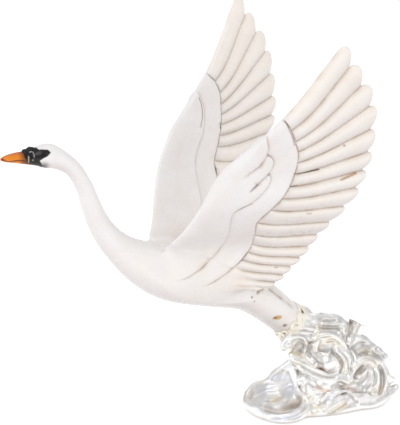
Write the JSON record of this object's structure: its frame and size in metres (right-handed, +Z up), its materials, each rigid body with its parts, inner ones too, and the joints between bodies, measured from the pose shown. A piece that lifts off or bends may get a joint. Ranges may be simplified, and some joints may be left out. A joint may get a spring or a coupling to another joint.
{
  "type": "swan figurine",
  "caption": "White swan with raised, feathered wings and outstretched neck, its tail set in a silvered splash of water that serves as the base.",
  "frame": {"origin": "on the flat underside of the splash base, in the swan's middle plane", "axes": "+Z up; the swan faces -X; +Y is to the swan's right-hand wing, square to its middle plane"},
  "size_m": [0.4144, 0.2212, 0.4186],
  "materials": {
    "white_resin": "gloss",
    "silver_leaf": "satin"
  },
  "bodies": {
    "root": {"swan": "white_resin", "wave_base": "silver_leaf"}
  },
  "joints": []
}
